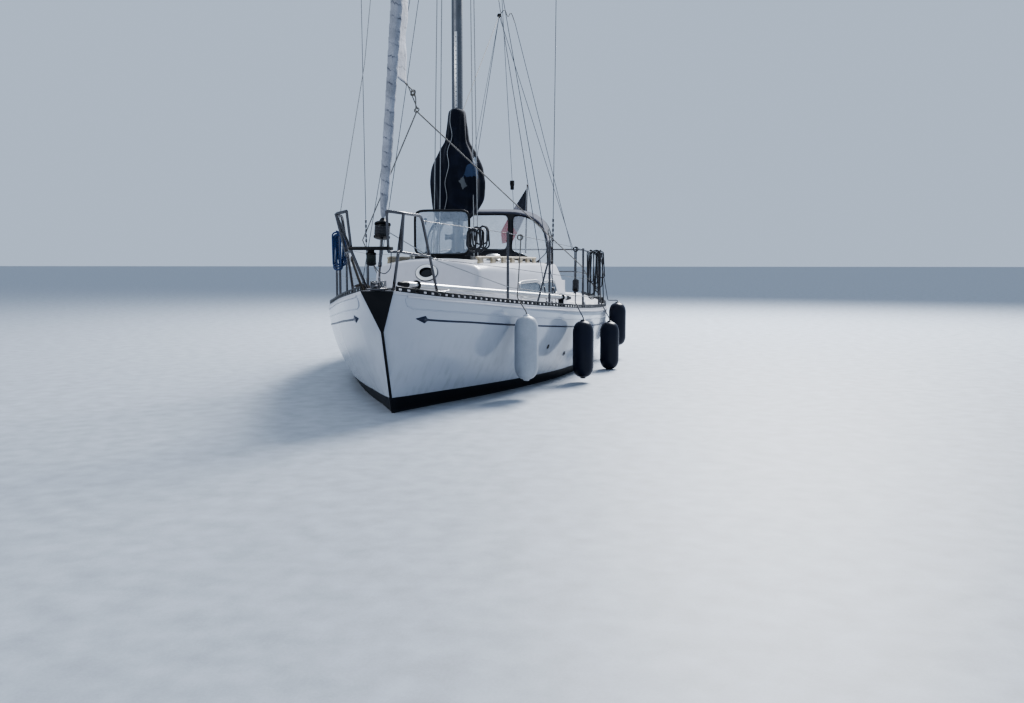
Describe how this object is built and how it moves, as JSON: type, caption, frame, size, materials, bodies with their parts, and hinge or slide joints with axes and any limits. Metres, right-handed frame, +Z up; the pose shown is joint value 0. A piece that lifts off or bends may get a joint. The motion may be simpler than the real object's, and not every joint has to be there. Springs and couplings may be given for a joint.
{
  "type": "sailing yacht",
  "caption": "Masthead sloop afloat with rolled headsail, covered boom, open fore hatch, sprayhood, split bow rail, guardrails, fenders, fin keel and tiller-steered rudder on a skeg.",
  "frame": {"origin": "on the waterline, amidships, on the centreline", "axes": "+X forward to the bow, +Y to port, +Z up"},
  "size_m": [9.3428, 3.4514, 14.41],
  "materials": {
    "gelcoat": "glossy white gelcoat with a dark stripe and a black bottom",
    "deck_paint": "off-white moulded deck with sanded non-slip panels",
    "black_trim": "black anodised and moulded trim",
    "antifouling": "black antifouling paint",
    "acrylic": "clear acrylic",
    "stainless": "polished stainless steel",
    "alloy": "anodised aluminium",
    "galvanised": "dull galvanised iron",
    "bronze": "dull bronze",
    "teak": "oiled teak",
    "canvas": "dark navy acrylic canvas",
    "sailcloth": "rolled sail with a pale grey-blue strip",
    "fender_grey": "soft vinyl",
    "fender_navy": "soft vinyl",
    "ensign_cloth": "woven polyester",
    "blue_rope": "braided rope",
    "black_rope": "braided rope"
  },
  "bodies": {
    "root": {"hull": "gelcoat", "deck": "deck_paint", "coachroof": "deck_paint", "cockpit_moulding": "deck_paint", "stem_guard": "black_trim", "toe_rail_port": "black_trim", "toe_rail_starboard": "black_trim", "fore_hatch_frame": "black_trim", "bow_plank": "black_trim", "bow_light": "black_trim", "furler_drum": "black_trim", "fin_keel": "antifouling", "rudder_skeg": "antifouling", "window_fore_port": "acrylic", "window_fore_starboard": "acrylic", "window_aft_port": "acrylic", "window_aft_starboard": "acrylic", "portlight": "acrylic", "pulpit_port": "stainless", "pulpit_starboard": "stainless", "guardrail_port": "stainless", "guardrail_starboard": "stainless", "pushpit": "stainless", "stem_fitting": "stainless", "backstay": "stainless", "shrouds_port": "stainless", "shrouds_starboard": "stainless", "winch_port": "stainless", "winch_starboard": "stainless", "mast": "alloy", "spinnaker_pole": "alloy", "anchor": "galvanised", "engine": "galvanised", "shaft_bracket": "bronze", "grab_rail_port": "teak", "grab_rail_starboard": "teak", "hatch_runner_port": "teak", "hatch_runner_starboard": "teak", "washboards": "teak", "flagstaff": "teak", "sail_cover_collar": "canvas", "sprayhood": "canvas", "furled_genoa": "sailcloth", "fender_1": "fender_grey", "fender_2": "fender_navy", "fender_3": "fender_navy", "fender_4": "fender_navy", "ensign": "ensign_cloth", "blue_rope_coil": "blue_rope", "black_rope_coil": "black_rope", "dark_rope_coil": "black_rope"},
    "boom": {"boom": "alloy", "sail_cover": "canvas"},
    "rudder": {"rudder": "antifouling", "tiller": "teak"},
    "propeller": {"propeller": "bronze"},
    "fore_hatch_lid": {"fore_hatch_lid": "acrylic"},
    "sliding_hatch": {"sliding_hatch": "deck_paint"},
    "locker_lid_port": {"locker_lid_port": "deck_paint"},
    "locker_lid_starboard": {"locker_lid_starboard": "deck_paint"}
  },
  "joints": [
    {"name": "boom_swing", "type": "hinge", "parent": "root", "child": "boom", "pos_m": [0.8, 0, 1.9], "axis": [0, 0, 1], "range_deg": [-64, 46]},
    {"name": "rudder_turn", "type": "hinge", "parent": "root", "child": "rudder", "pos_m": [-3.56, 0, 0], "axis": [0, 0, 1], "range_deg": [-35, 35]},
    {"name": "propeller_spin", "type": "hinge", "parent": "root", "child": "propeller", "pos_m": [-2.68, 0, -0.64], "axis": [-0.9877, 0, -0.1564], "continuous": true},
    {"name": "fore_hatch_hinge", "type": "hinge", "parent": "root", "child": "fore_hatch_lid", "pos_m": [1.86, 0, 1.368], "axis": [0, 1, 0], "range_deg": [-90, 25]},
    {"name": "companion_slide", "type": "slide", "parent": "root", "child": "sliding_hatch", "axis": [1, 0, 0], "range_m": [0, 0.37]},
    {"name": "port_locker_hinge", "type": "hinge", "parent": "root", "child": "locker_lid_port", "pos_m": [-2.4, 0.726, 0.706], "axis": [-1, 0, 0], "range_deg": [0, 85]},
    {"name": "starboard_locker_hinge", "type": "hinge", "parent": "root", "child": "locker_lid_starboard", "pos_m": [-2.4, -0.726, 0.706], "axis": [1, 0, 0], "range_deg": [0, 85]}
  ]
}
